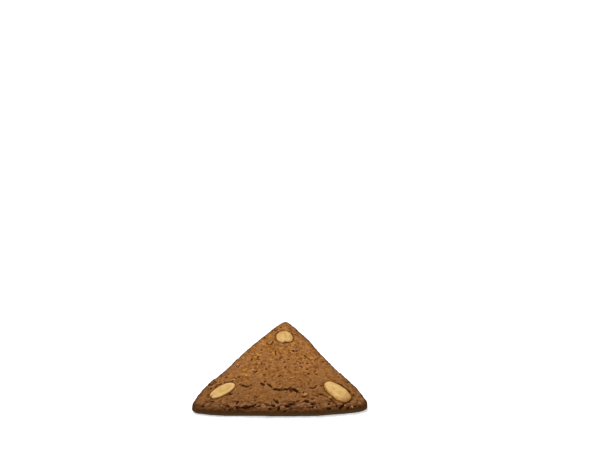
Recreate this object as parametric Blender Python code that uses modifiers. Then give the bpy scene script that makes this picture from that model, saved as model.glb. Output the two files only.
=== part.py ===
"""Speculoos: a thin three-cornered spiced biscuit with three half almonds baked into its top.

X runs along the front edge, Y from that edge to the apex, and Z up from the table. The biscuit lies on its
flat underside, and the origin is the middle of its bounding box's bottom face.
"""

import math
import random

import bmesh
import bpy
from mathutils import Vector, kdtree, noise
from mathutils.bvhtree import BVHTree
from mathutils.geometry import intersect_point_line

MM = 0.001

# Dough slab: height of the crust over the table, and the round of its upper and lower rims.
THICKNESS = 7.5 * MM
DOME = 0.5 * MM
DOME_RADIUS = 60 * MM
SIDE_RIM = (3.2 * MM, 3.0 * MM)  # how far in and how far down the rim's round reaches, on the two long sides
FRONT_RIM = (5.4 * MM, 4.6 * MM)  # the same along the front edge, which slumped further
FOOT_TUCK = 0.7 * MM
FOOT_HEIGHT = 1.6 * MM
FRONT_FALL = 0.8 * MM  # how much the crust sinks between the long crack and the front rim
FRONT_FALL_FROM = -29 * MM
FRONT_FALL_TO = -47 * MM

# Plan outline in millimetres, clockwise from the apex. A smooth closed curve runs through these points.
OUTLINE = (
    (-1.1, 50.0), (2.5, 52.4), (5.9, 49.5),  # apex
    (9.9, 43.7), (19.8, 27.5), (27.0, 12.8), (35.5, -2.7), (51.4, -28.7),  # right side
    (57.0, -40.0), (57.8, -44.1), (56.3, -46.6),  # right corner
    (44.2, -49.7), (28.0, -51.9), (-24.2, -52.2), (-48.6, -50.9),  # front edge
    (-56.1, -48.7), (-57.8, -45.9), (-56.3, -40.6),  # left corner
    (-52.8, -31.6), (-48.9, -24.5), (-40.9, -13.1), (-29.9, 7.0), (-19.1, 24.5), (-12.2, 35.0),
    (-5.2, 45.6),  # left side
)
# The edge wanders from that curve: how far, over what length, and the place in the noise where it is read.
WAVER = (0.35 * MM, 9 * MM, 0.0)
WAVER_REACH = 4 * MM  # the wandering and the foot's tuck die out this far inside the edge

# Crust relief, of the same three numbers for each kind.
SWELL = (0.28 * MM, 19 * MM, 3.1)
LUMPS = (0.26 * MM, 5.0 * MM, 9.7)
CRUMB = (0.16 * MM, 2.2 * MM, 17.3)
CRAGS = (2.0 * MM, 3.6 * MM, 27.9)
CRAG_DEPTH = 1.0 * MM  # the crags' hollows are cut off at this depth
CRAG_BAND = (4 * MM, 9 * MM)  # the broken rim is at its full depth up to the first, and ends at the second
SIDE_CRAGS = 0.35  # share of the crags' height that the other two side faces have
FOOT_FADE = (0.2 * MM, 1.6 * MM)  # the relief fades out between these heights, so that the foot stays flat
FRONT_FACING = (0.45, 0.95)  # an edge counts as the front one between these shares of facing it
TOP_FACING = (0.3, 0.8)  # and a face as the top one between these

# Cracks in millimetres: route, half width and depth. The first six are the pieces of the long one that crosses
# the front half, whose fifth is a small hole.
CRACKS = (
    dict(route=((-26.6, -27.9), (-22.9, -30.1), (-19.2, -28.2)), half_width=0.8, depth=1.2),
    dict(route=((-13.4, -26.4), (-11.0, -28.6)), half_width=0.9, depth=1.3),
    dict(route=((-11.0, -26.0), (-9.7, -23.4)), half_width=0.7, depth=1.0),
    dict(route=((-8.8, -26.7), (-7.3, -28.6), (-5.6, -30.9), (-3.8, -32.8), (0.2, -34.1), (3.2, -32.9), (5.6, -32.6)),
         half_width=0.8, depth=1.3),
    dict(route=((6.0, -31.9), (7.3, -33.0), (8.8, -33.2)), half_width=2.0, depth=1.8),
    dict(route=((9.0, -31.6), (10.3, -34.3), (13.6, -36.0)), half_width=0.9, depth=1.6),
    dict(route=((-50.8, -26.2), (-47.6, -28.2), (-44.6, -26.8)), half_width=0.8, depth=1.2),
    dict(route=((19.0, -32.2), (22.0, -32.2), (24.9, -28.7)), half_width=0.8, depth=1.1),
    dict(route=((23.9, -39.1), (27.7, -37.3), (31.0, -39.6)), half_width=0.8, depth=1.1),
    dict(route=((7.3, 12.4), (9.5, 11.2), (11.2, 12.4)), half_width=0.7, depth=1.0),
    dict(route=((16.3, 6.3), (22.3, -0.3)), half_width=0.6, depth=0.8),
    dict(route=((3.3, -45.9), (6.5, -46.7), (8.7, -47.3), (11.2, -46.0)), half_width=1.1, depth=1.8),
    dict(route=((20.5, -48.1), (23.4, -46.2), (25.2, -47.5)), half_width=1.0, depth=1.6),
    dict(route=((-3.4, -42.6), (-0.5, -45.0)), half_width=0.8, depth=1.3),
)
CRACK_FADE = 2.5 * MM  # a crack grows shallower over this length at each end,
CRACK_END = 0.1  # down to this share of its depth

# Small holes and nut pieces, scattered by a seeded draw that takes each one's size between two limits.
SEED = 7
PITS = dict(count=70, radius=(0.7 * MM, 1.3 * MM), height=(0.4 * MM, 0.9 * MM))
NUTS = dict(count=56, radius=(0.9 * MM, 1.5 * MM), height=(0.35 * MM, 0.6 * MM))
SCATTER_MARGIN = 3 * MM  # they stay this far inside the outline
ALMOND_MARGIN = 1.2 * MM  # and this far from an almond

# Half almonds. In millimetres: place of the middle, height of the widest line over the table, length, width,
# how high the upper face stands over that line, how deep the lower face goes under it, and depth of the nick
# in the pointed end. In degrees: heading of the blunt end, roll about the length, and dip of the blunt end.
# Without a unit: how much broader the blunt half is, how full the two ends are (2 is an ellipse), and how flat
# the upper face is (1 is a plain dome).
ALMONDS = {
    "almond_left": dict(place=(-38.6, -34.3), line=6.7, length=20.4, width=8.8, rise=1.4, sink=2.6, nick=1.0,
                        heading=44, roll=3, dip=-2, egg=0.06, fullness=2.1, flatness=3.2),
    "almond_right": dict(place=(38.1, -34.9), line=6.7, length=22.9, width=11.0, rise=2.2, sink=1.8, nick=0.0,
                         heading=-51, roll=2, dip=3, egg=0.12, fullness=2.4, flatness=1.6),
    "almond_top": dict(place=(1.8, 29.2), line=7.1, length=15.8, width=12.1, rise=1.9, sink=1.8, nick=1.0,
                       heading=100, roll=-1, dip=1, egg=-0.04, fullness=2.3, flatness=1.9),
}
NICK_SPREAD = 0.08  # share of the almond's section that the nick takes up, squared
ALMOND_RINGS = 13
ALMOND_SIDES = 26
AT_A_TIP = 0.01  # a point of the almond's unit ball this near its long axis is one of its two tips
SEAT_GAP = 0.3 * MM  # the hollow in the dough is this much larger than the almond, all round

# Meshes: steps between two points of the outline, grid of the smooth form, grid of the relief, and the
# triangles that the finished dough keeps before the almonds' hollows are cut.
OUTLINE_STEPS = 16
WELD = 0.01 * MM
FORM_GRID = 1.0 * MM
RELIEF_GRID = 0.75 * MM
DOUGH_TRIANGLES = 6800
FLAT_BELOW = 0.08 * MM  # what is lower than this is laid flat on the table
UPRIGHT = 0.5  # a face of the slab whose normal rises less than this is one of its sides

CRUST_COLOUR = (0.30, 0.135, 0.045, 1.0)
CRUST_ROUGHNESS = 0.85
ALMOND_COLOUR = (0.68, 0.43, 0.15, 1.0)
ALMOND_ROUGHNESS = 0.55


def clear_scene():
    for obj in list(bpy.data.objects):
        bpy.data.objects.remove(obj, do_unlink=True)


def new_collection(name):
    collection = bpy.data.collections.new(name)
    bpy.context.scene.collection.children.link(collection)
    return collection


def matt_material(name, colour, roughness):
    material = bpy.data.materials.new(name)
    material.use_nodes = True
    shader = material.node_tree.nodes["Principled BSDF"]
    shader.inputs["Base Color"].default_value = colour
    shader.inputs["Roughness"].default_value = roughness
    shader.inputs["Metallic"].default_value = 0.0
    return material


def smoothstep(low, high, value):
    share = min(1.0, max(0.0, (value - low) / (high - low)))
    return share * share * (3.0 - 2.0 * share)


def wave(point, relief):
    """Smooth noise at a point, with the height and the length of waves of one kind of relief."""
    height, length, place = relief
    return height * noise.noise(point / length + Vector((place, 0.0, place)))


def evaluated_mesh(obj):
    """The object's mesh with its modifiers applied, as a new mesh."""
    bpy.context.view_layer.update()
    graph = bpy.context.evaluated_depsgraph_get()
    return bpy.data.meshes.new_from_object(obj.evaluated_get(graph))


def apply_modifiers(obj):
    mesh = evaluated_mesh(obj)
    obj.modifiers.clear()
    obj.data = mesh


def remesh(obj, grid):
    """Rebuilds the object's surface on an even grid."""
    modifier = obj.modifiers.new("even grid", "REMESH")
    modifier.mode = "VOXEL"
    modifier.voxel_size = grid
    modifier.adaptivity = 0.0
    apply_modifiers(obj)


def cut_slab(collection):
    """The plain slab, as a cutter would leave it: the outline, THICKNESS high, standing on the table."""
    curve = bpy.data.curves.new("outline", "CURVE")
    curve.dimensions = "2D"
    curve.fill_mode = "BOTH"
    curve.extrude = THICKNESS / 2
    curve.resolution_u = OUTLINE_STEPS
    spline = curve.splines.new("BEZIER")
    spline.use_cyclic_u = True
    spline.bezier_points.add(len(OUTLINE) - 1)
    for knot, (x, y) in zip(spline.bezier_points, OUTLINE):
        knot.co = (x * MM, y * MM, 0.0)
        knot.handle_left_type = "AUTO"
        knot.handle_right_type = "AUTO"
    guide = bpy.data.objects.new("outline", curve)
    guide.location.z = THICKNESS / 2
    collection.objects.link(guide)

    slab = bpy.data.objects.new("biscuit", evaluated_mesh(guide))
    slab.data.transform(guide.matrix_world)
    collection.objects.link(slab)
    bpy.data.objects.remove(guide, do_unlink=True)
    bm = bmesh.new()
    bm.from_mesh(slab.data)
    bmesh.ops.remove_doubles(bm, verts=bm.verts, dist=WELD)
    bmesh.ops.recalc_face_normals(bm, faces=bm.faces)
    bm.to_mesh(slab.data)
    bm.free()
    return slab


class Edge:
    """The slab's cut side, which tells how far inside the outline a point lies and which way is out."""

    def __init__(self, slab):
        points = [vertex.co.copy() for vertex in slab.data.vertices]
        sides = [tuple(face.vertices) for face in slab.data.polygons if abs(face.normal.z) < UPRIGHT]
        self.sides = BVHTree.FromPolygons(points, sides)
        self.reach = max(max(abs(point.x), abs(point.y)) for point in points)

    def nearest(self, point):
        """Depth inside the outline (0 on it or beyond it) and the outward direction there."""
        level = Vector((point.x, point.y, THICKNESS / 2))
        near, outward, _, _ = self.sides.find_nearest(level)
        return max(0.0, (near - level).dot(outward)), outward


def front_share(outward):
    """1 where the edge faces the front, 0 on the two long sides."""
    return smoothstep(*FRONT_FACING, -outward.y)


def crust_height(point, depth, outward):
    """Height of the smooth crust over the table at a point this deep inside the outline."""
    front = front_share(outward)
    reach = SIDE_RIM[0] + (FRONT_RIM[0] - SIDE_RIM[0]) * front
    drop = SIDE_RIM[1] + (FRONT_RIM[1] - SIDE_RIM[1]) * front
    beyond = max(0.0, 1.0 - depth / reach)
    dome = DOME * (1.0 - (point.x * point.x + point.y * point.y) / DOME_RADIUS**2)
    fall = FRONT_FALL * smoothstep(-FRONT_FALL_FROM, -FRONT_FALL_TO, -point.y)
    return THICKNESS + dome - fall - drop * (1.0 - math.sqrt(1.0 - beyond * beyond))


def shape_form(dough, edge):
    """Rounds the slab's rims, domes its top, tucks in its foot and lets its edge wander."""
    remesh(dough, FORM_GRID)
    for vertex in dough.data.vertices:
        point = vertex.co
        depth, outward = edge.nearest(point)
        level = min(1.0, max(0.0, point.z / THICKNESS))
        height = level * crust_height(point, depth, outward)
        near_edge = max(0.0, 1.0 - depth / WAVER_REACH)
        tuck = FOOT_TUCK * (1.0 - min(1.0, height / FOOT_HEIGHT)) ** 2
        waver = wave(Vector((point.x, point.y, 0.0)), WAVER)
        vertex.co = point + outward * (waver - tuck) * near_edge
        vertex.co.z = height
    dough.data.update()


class Crack:
    """A groove of round section along a route, shallower towards its ends."""

    def __init__(self, route, half_width, depth):
        self.knots = [Vector((x, y, 0.0)) * MM for x, y in route]
        self.starts = [0.0]
        for a, b in zip(self.knots, self.knots[1:]):
            self.starts.append(self.starts[-1] + (b - a).length)
        self.half_width = half_width * MM
        self.depth = depth * MM
        self.low = Vector(min(knot[axis] for knot in self.knots) - self.half_width for axis in range(2))
        self.high = Vector(max(knot[axis] for knot in self.knots) + self.half_width for axis in range(2))

    def depth_at(self, flat):
        if not (self.low.x < flat.x < self.high.x and self.low.y < flat.y < self.high.y):
            return 0.0
        deepest = 0.0
        for a, b, start in zip(self.knots, self.knots[1:], self.starts):
            share = min(1.0, max(0.0, intersect_point_line(flat, a, b)[1]))
            away = (flat - a.lerp(b, share)).length / self.half_width
            if away < 1.0:
                run = start + share * (b - a).length
                fade = min(1.0, CRACK_END + min(run, self.starts[-1] - run) / CRACK_FADE)
                deepest = max(deepest, self.depth * fade * (1.0 - away * away))
        return deepest


class Scatter:
    """Small round bumps, or holes, at random places on the crust, clear of its rim and the almonds."""

    def __init__(self, draw, edge, count, radius, height):
        self.tree = kdtree.KDTree(count)
        self.sizes = []
        self.reach = radius[1]
        half_side = edge.reach
        while len(self.sizes) < count:
            spot = Vector((draw.uniform(-half_side, half_side), draw.uniform(-half_side, half_side), 0.0))
            depth, _ = edge.nearest(spot)
            if depth < SCATTER_MARGIN or on_almond(spot):
                continue
            self.tree.insert(spot, len(self.sizes))
            self.sizes.append((draw.uniform(*radius), draw.uniform(*height)))
        self.tree.balance()

    def height_at(self, flat):
        highest = 0.0
        for _, index, away in self.tree.find_range(flat, self.reach):
            radius, height = self.sizes[index]
            if away < radius:
                highest = max(highest, height * (1.0 - (away / radius) ** 2))
        return highest


def on_almond(spot):
    """Whether a place lies on an almond or close against it."""
    for almond in ALMONDS.values():
        offset = Vector((spot.x, spot.y)) - Vector(almond["place"]) * MM
        heading = math.radians(almond["heading"])
        along = offset.x * math.cos(heading) + offset.y * math.sin(heading)
        across = offset.y * math.cos(heading) - offset.x * math.sin(heading)
        half_length = almond["length"] / 2 * MM + ALMOND_MARGIN
        half_width = almond["width"] / 2 * MM + ALMOND_MARGIN
        if (along / half_length) ** 2 + (across / half_width) ** 2 < 1.0:
            return True
    return False


def crust_relief(point, normal, depth, front):
    """How far the worked crust stands out of the smooth form, without the cracks."""
    height = wave(point, SWELL) * normal.z + wave(point, LUMPS) + wave(point, CRUMB)
    band = smoothstep(CRAG_BAND[1], CRAG_BAND[0], depth)
    roughness = SIDE_CRAGS + (1.0 - SIDE_CRAGS) * front
    return height - band * roughness * min(CRAG_DEPTH, abs(wave(point, CRAGS)))


def add_relief(dough, edge):
    """Works the crust: swells, lumps, crumb, crags along the front, cracks, holes and nut pieces."""
    remesh(dough, RELIEF_GRID)
    draw = random.Random(SEED)
    pits = Scatter(draw, edge, **PITS)
    nuts = Scatter(draw, edge, **NUTS)
    cracks = [Crack(**crack) for crack in CRACKS]
    places = []
    for vertex in dough.data.vertices:
        point = vertex.co
        normal = vertex.normal
        flat = Vector((point.x, point.y, 0.0))
        depth, outward = edge.nearest(point)
        top = smoothstep(*TOP_FACING, normal.z)
        height = crust_relief(point, normal, depth, front_share(outward))
        height += (nuts.height_at(flat) - pits.height_at(flat)) * top
        groove = max(crack.depth_at(flat) for crack in cracks) * top
        above_foot = smoothstep(*FOOT_FADE, point.z)
        places.append(point + normal * height * above_foot - Vector((0.0, 0.0, groove)))
    for vertex, place in zip(dough.data.vertices, places):
        vertex.co = place
    dough.data.update()


def thin_out(dough):
    """Brings the dough down to its triangle count, and lays its underside flat on the table again."""
    decimate = dough.modifiers.new("fewer faces", "DECIMATE")
    faces = sum(len(face.vertices) - 2 for face in dough.data.polygons)
    decimate.ratio = DOUGH_TRIANGLES / faces
    decimate.use_collapse_triangulate = True
    apply_modifiers(dough)
    for vertex in dough.data.vertices:
        if vertex.co.z < FLAT_BELOW:
            vertex.co.z = 0.0


def almond_mesh(name, almond, grow=0.0):
    """Half an almond, its pointed end at -X and its blunt end at +X, grown by this much all round."""
    half_length = almond["length"] / 2 * MM + grow
    half_width = almond["width"] / 2 * MM + grow
    rise = almond["rise"] * MM + grow
    sink = almond["sink"] * MM + grow
    bm = bmesh.new()
    bmesh.ops.create_uvsphere(bm, u_segments=ALMOND_SIDES, v_segments=ALMOND_RINGS, radius=1.0)
    for vertex in bm.verts:
        along, across, up = vertex.co.z, vertex.co.x, vertex.co.y
        girth = math.hypot(across, up)
        if girth > AT_A_TIP:
            fuller = (1.0 - abs(along) ** almond["fullness"]) ** (1.0 / almond["fullness"]) / girth
            across *= fuller
            up *= fuller
        vertex.co.x = along * half_length
        if along < 0.0:
            vertex.co.x += almond["nick"] * MM * math.exp(-(across * across + up * up) / NICK_SPREAD)
        vertex.co.y = across * half_width * (1.0 + almond["egg"] * along)
        if up > 0.0:
            vertex.co.z = rise * (1.0 - (1.0 - up) ** almond["flatness"])
        else:
            vertex.co.z = sink * up
    mesh = bpy.data.meshes.new(name)
    bm.to_mesh(mesh)
    bm.free()
    mesh.shade_smooth()
    return mesh


def place_almond(obj, almond):
    x, y = almond["place"]
    obj.location = Vector((x, y, almond["line"])) * MM
    obj.rotation_euler = [math.radians(almond[turn]) for turn in ("roll", "dip", "heading")]


def press_in_almonds(dough, parts, cutters, material):
    """Sets each half almond into a hollow of its own shape in the dough."""
    for name, almond in ALMONDS.items():
        nut = bpy.data.objects.new(name, almond_mesh(name, almond))
        nut.data.materials.append(material)
        place_almond(nut, almond)
        parts.objects.link(nut)
        seat = bpy.data.objects.new(f"{name}_seat", almond_mesh(f"{name}_seat", almond, SEAT_GAP))
        place_almond(seat, almond)
        seat.hide_render = True
        seat.display_type = "WIRE"
        cutters.objects.link(seat)
        hollow = dough.modifiers.new(f"{name} seat", "BOOLEAN")
        hollow.operation = "DIFFERENCE"
        hollow.solver = "EXACT"
        hollow.object = seat


def centre_on_origin(parts, cutters):
    """Moves everything so that the bounding box's bottom centre is the origin."""
    bpy.context.view_layer.update()
    corners = [obj.matrix_world @ vertex.co for obj in parts.objects for vertex in obj.data.vertices]
    low = Vector(min(corner[axis] for corner in corners) for axis in range(3))
    high = Vector(max(corner[axis] for corner in corners) for axis in range(3))
    shift = Vector(((low.x + high.x) / 2, (low.y + high.y) / 2, low.z))
    for obj in list(parts.objects) + list(cutters.objects):
        obj.location -= shift


clear_scene()
speculoos = new_collection("speculoos")
seats = new_collection("almond seats")
biscuit = cut_slab(speculoos)
biscuit_edge = Edge(biscuit)
shape_form(biscuit, biscuit_edge)
add_relief(biscuit, biscuit_edge)
thin_out(biscuit)
biscuit.data.materials.clear()
biscuit.data.materials.append(matt_material("baked spiced dough", CRUST_COLOUR, CRUST_ROUGHNESS))
press_in_almonds(biscuit, speculoos, seats, matt_material("toasted almond", ALMOND_COLOUR, ALMOND_ROUGHNESS))
centre_on_origin(speculoos, seats)
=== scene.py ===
"""The looks of one speculoos: a three-cornered spiced biscuit, its nut crumbs and its three half almonds.

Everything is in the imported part's own frame, in metres: X along the front edge, Y towards the apex, Z up.
"""

import math
import random

import bmesh
import bpy
import numpy as np
from mathutils import Matrix, Vector, kdtree, noise
from mathutils.bvhtree import BVHTree


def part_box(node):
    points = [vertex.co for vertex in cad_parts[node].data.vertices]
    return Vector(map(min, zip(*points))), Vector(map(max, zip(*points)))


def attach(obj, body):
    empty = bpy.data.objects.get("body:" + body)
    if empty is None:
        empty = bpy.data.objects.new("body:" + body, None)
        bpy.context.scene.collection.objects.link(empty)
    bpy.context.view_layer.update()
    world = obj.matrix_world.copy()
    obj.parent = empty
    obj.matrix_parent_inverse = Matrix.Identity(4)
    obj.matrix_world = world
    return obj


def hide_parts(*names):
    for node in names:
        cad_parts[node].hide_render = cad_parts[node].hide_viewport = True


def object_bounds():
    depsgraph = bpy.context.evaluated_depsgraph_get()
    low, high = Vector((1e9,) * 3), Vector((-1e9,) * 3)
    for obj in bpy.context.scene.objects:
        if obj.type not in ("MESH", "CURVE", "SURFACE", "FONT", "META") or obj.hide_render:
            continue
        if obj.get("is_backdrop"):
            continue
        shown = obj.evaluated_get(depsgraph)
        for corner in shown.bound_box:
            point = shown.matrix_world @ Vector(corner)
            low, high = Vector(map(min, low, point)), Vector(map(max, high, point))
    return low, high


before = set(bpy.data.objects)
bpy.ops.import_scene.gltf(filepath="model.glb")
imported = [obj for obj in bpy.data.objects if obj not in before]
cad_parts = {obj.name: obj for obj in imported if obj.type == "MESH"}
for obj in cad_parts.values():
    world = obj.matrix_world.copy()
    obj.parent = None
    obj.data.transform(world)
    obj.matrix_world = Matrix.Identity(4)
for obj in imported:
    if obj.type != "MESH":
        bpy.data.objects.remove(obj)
cad_low, cad_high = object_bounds()


# --- Baked dough: its form --------------------------------------------------------------------------------
# One slab of spiced dough, cut with a knife along three sides and baked brown, lying on its flat underside.
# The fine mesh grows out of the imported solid, whose hollows for the almonds are closed for a start.

MM = 0.001
ALMONDS = ("almond_left", "almond_right", "almond_top")
WELD = 0.002 * MM
SEAT_LINING = 0.45 * MM  # faces of the solid this near to an almond line its hollow
DOUGH_GRID = 0.28 * MM
SOFTENING_ROUNDS = 34  # evens out the solid's flat facets, over a little under 1 mm
RESTORED = 0.8  # share of the rounding of corners and rims that is given back


def welded(node):
    """The node's mesh for editing, with the points joined that the packing split."""
    bm = bmesh.new()
    bm.from_mesh(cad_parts[node].data)
    bmesh.ops.remove_doubles(bm, verts=bm.verts, dist=WELD)
    return bm


def surface_of(node):
    bm = welded(node)
    tree = BVHTree.FromBMesh(bm)
    bm.free()
    return tree


def new_piece(name, bm):
    mesh = bpy.data.meshes.new(name)
    bm.to_mesh(mesh)
    bm.free()
    piece = bpy.data.objects.new(name, mesh)
    bpy.context.scene.collection.objects.link(piece)
    return piece


def apply_modifiers(piece):
    bpy.context.view_layer.update()
    graph = bpy.context.evaluated_depsgraph_get()
    mesh = bpy.data.meshes.new_from_object(piece.evaluated_get(graph))
    piece.modifiers.clear()
    piece.data = mesh


def regrid(piece, grid):
    """Rebuilds a piece's surface on an even grid of squares."""
    modifier = piece.modifiers.new("even grid", "REMESH")
    modifier.mode = "VOXEL"
    modifier.voxel_size = grid
    apply_modifiers(piece)


def points_of(mesh):
    flat = np.empty(len(mesh.vertices) * 3, np.float32)
    mesh.vertices.foreach_get("co", flat)
    return flat.reshape(-1, 3).astype(float)


def normals_of(mesh):
    flat = np.empty(len(mesh.vertices) * 3, np.float32)
    mesh.vertex_normals.foreach_get("vector", flat)
    return flat.reshape(-1, 3).astype(float)


def move_points(mesh, points):
    mesh.vertices.foreach_set("co", points.astype(np.float32).ravel())
    mesh.update()


class Web:
    """The edges of a mesh, along which values at its points are evened out."""

    def __init__(self, mesh):
        ends = np.empty(len(mesh.edges) * 2, np.int32)
        mesh.edges.foreach_get("vertices", ends)
        self.first = ends[0::2]
        self.second = ends[1::2]
        self.count = len(mesh.vertices)
        self.meeting = np.maximum(1, np.bincount(ends, minlength=self.count))

    def smoothed(self, values, rounds):
        """In each round every point goes halfway to the mean of its neighbours."""
        columns = values.reshape(self.count, -1).T.copy()
        for _ in range(rounds):
            for column in columns:
                total = np.bincount(self.first, column[self.second], self.count)
                total += np.bincount(self.second, column[self.first], self.count)
                column += (total / self.meeting - column) / 2
        return columns.T.reshape(values.shape)


def smoothstep(low, high, value):
    share = np.clip((value - low) / (high - low), 0.0, 1.0)
    return share * share * (3.0 - 2.0 * share)


almond_surfaces = {name: surface_of(name) for name in ALMONDS}


def lines_a_seat(face):
    return any(
        all(surface.find_nearest(vertex.co, SEAT_LINING)[0] is not None for vertex in face.verts)
        for surface in almond_surfaces.values()
    )


slab = welded("biscuit")
bmesh.ops.delete(slab, geom=[face for face in slab.faces if lines_a_seat(face)], context="FACES")
bmesh.ops.holes_fill(slab, edges=slab.edges, sides=0)
dough = new_piece("baked_dough", slab)
regrid(dough, DOUGH_GRID)
dough_web = Web(dough.data)
softened = dough_web.smoothed(points_of(dough.data), SOFTENING_ROUNDS)
lost = softened - dough_web.smoothed(softened, SOFTENING_ROUNDS)
move_points(dough.data, softened + RESTORED * lost)
form = points_of(dough.data)
out = normals_of(dough.data)
count = len(form)

# Where each point lies: how high, how far in from the cut sides, and whether on the top or near the front.
TOP_FACING = (0.3, 0.8)  # how far up a face of the crust looks where the top begins, and where it is all top
FRONT_FACING = (0.3, 0.95)  # the same for the front
CORNER_ROUNDS = 190  # evens out, over about 3 mm, the change from one side to the next at a corner
SIDE_BELT = (2.0 * MM, 4.5 * MM)  # the heights between which the cut sides are found
FOOT = (0.3 * MM, 1.8 * MM)  # relief fades out between these heights, so that the underside stays flat

top = smoothstep(*TOP_FACING, out[:, 2])
above_foot = smoothstep(*FOOT, form[:, 2])
belt = (form[:, 2] > SIDE_BELT[0]) & (form[:, 2] < SIDE_BELT[1]) & (abs(out[:, 2]) < TOP_FACING[0])
belt_points = form[belt]
belt_out = out[belt]
belt_tree = kdtree.KDTree(len(belt_points))
for index, (x, y, _) in enumerate(belt_points):
    belt_tree.insert((x, y, 0.0), index)
belt_tree.balance()
inset = np.empty(count)
nearest_belt = np.empty(count, int)
for index, (x, y, _) in enumerate(form):
    _, nearest_belt[index], inset[index] = belt_tree.find((x, y, 0.0))
outwards = dough_web.smoothed(belt_out[nearest_belt, :2], CORNER_ROUNDS)  # away from the middle, in plan
front = smoothstep(*FRONT_FACING, -outwards[:, 1])


# --- Baked dough: its crust -------------------------------------------------------------------------------
# As the dough dried in the oven its skin crazed into low lumps, with pores and short fissures between them.
# One long crack crosses the front half, and the front rim burst into crags. Each almond lies in a crease.

# Here and below, noise is given by its height or share, its length and its seed, or by the last two alone.
LUMPS = (
    (0.16 * MM, 4.6 * MM, 3),
    (0.18 * MM, 2.3 * MM, 11),
    (0.12 * MM, 1.3 * MM, 23),
    (0.05 * MM, 0.75 * MM, 37),
)
CRAZE_CELLS = (5.5 * MM, 51)
CRAZE_DEPTH = 0.25 * MM
CRAZE_WIDTH = (0.02, 0.13)  # share of a cell, from the crack's bed to its lip
CRAZE_PATCHES = (4 * MM, 41)  # the crust crazed in patches,
CRAZE_PATCH_EDGE = (0.0, 0.35)  # which begin at the first value of this noise and are full at the second

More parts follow.
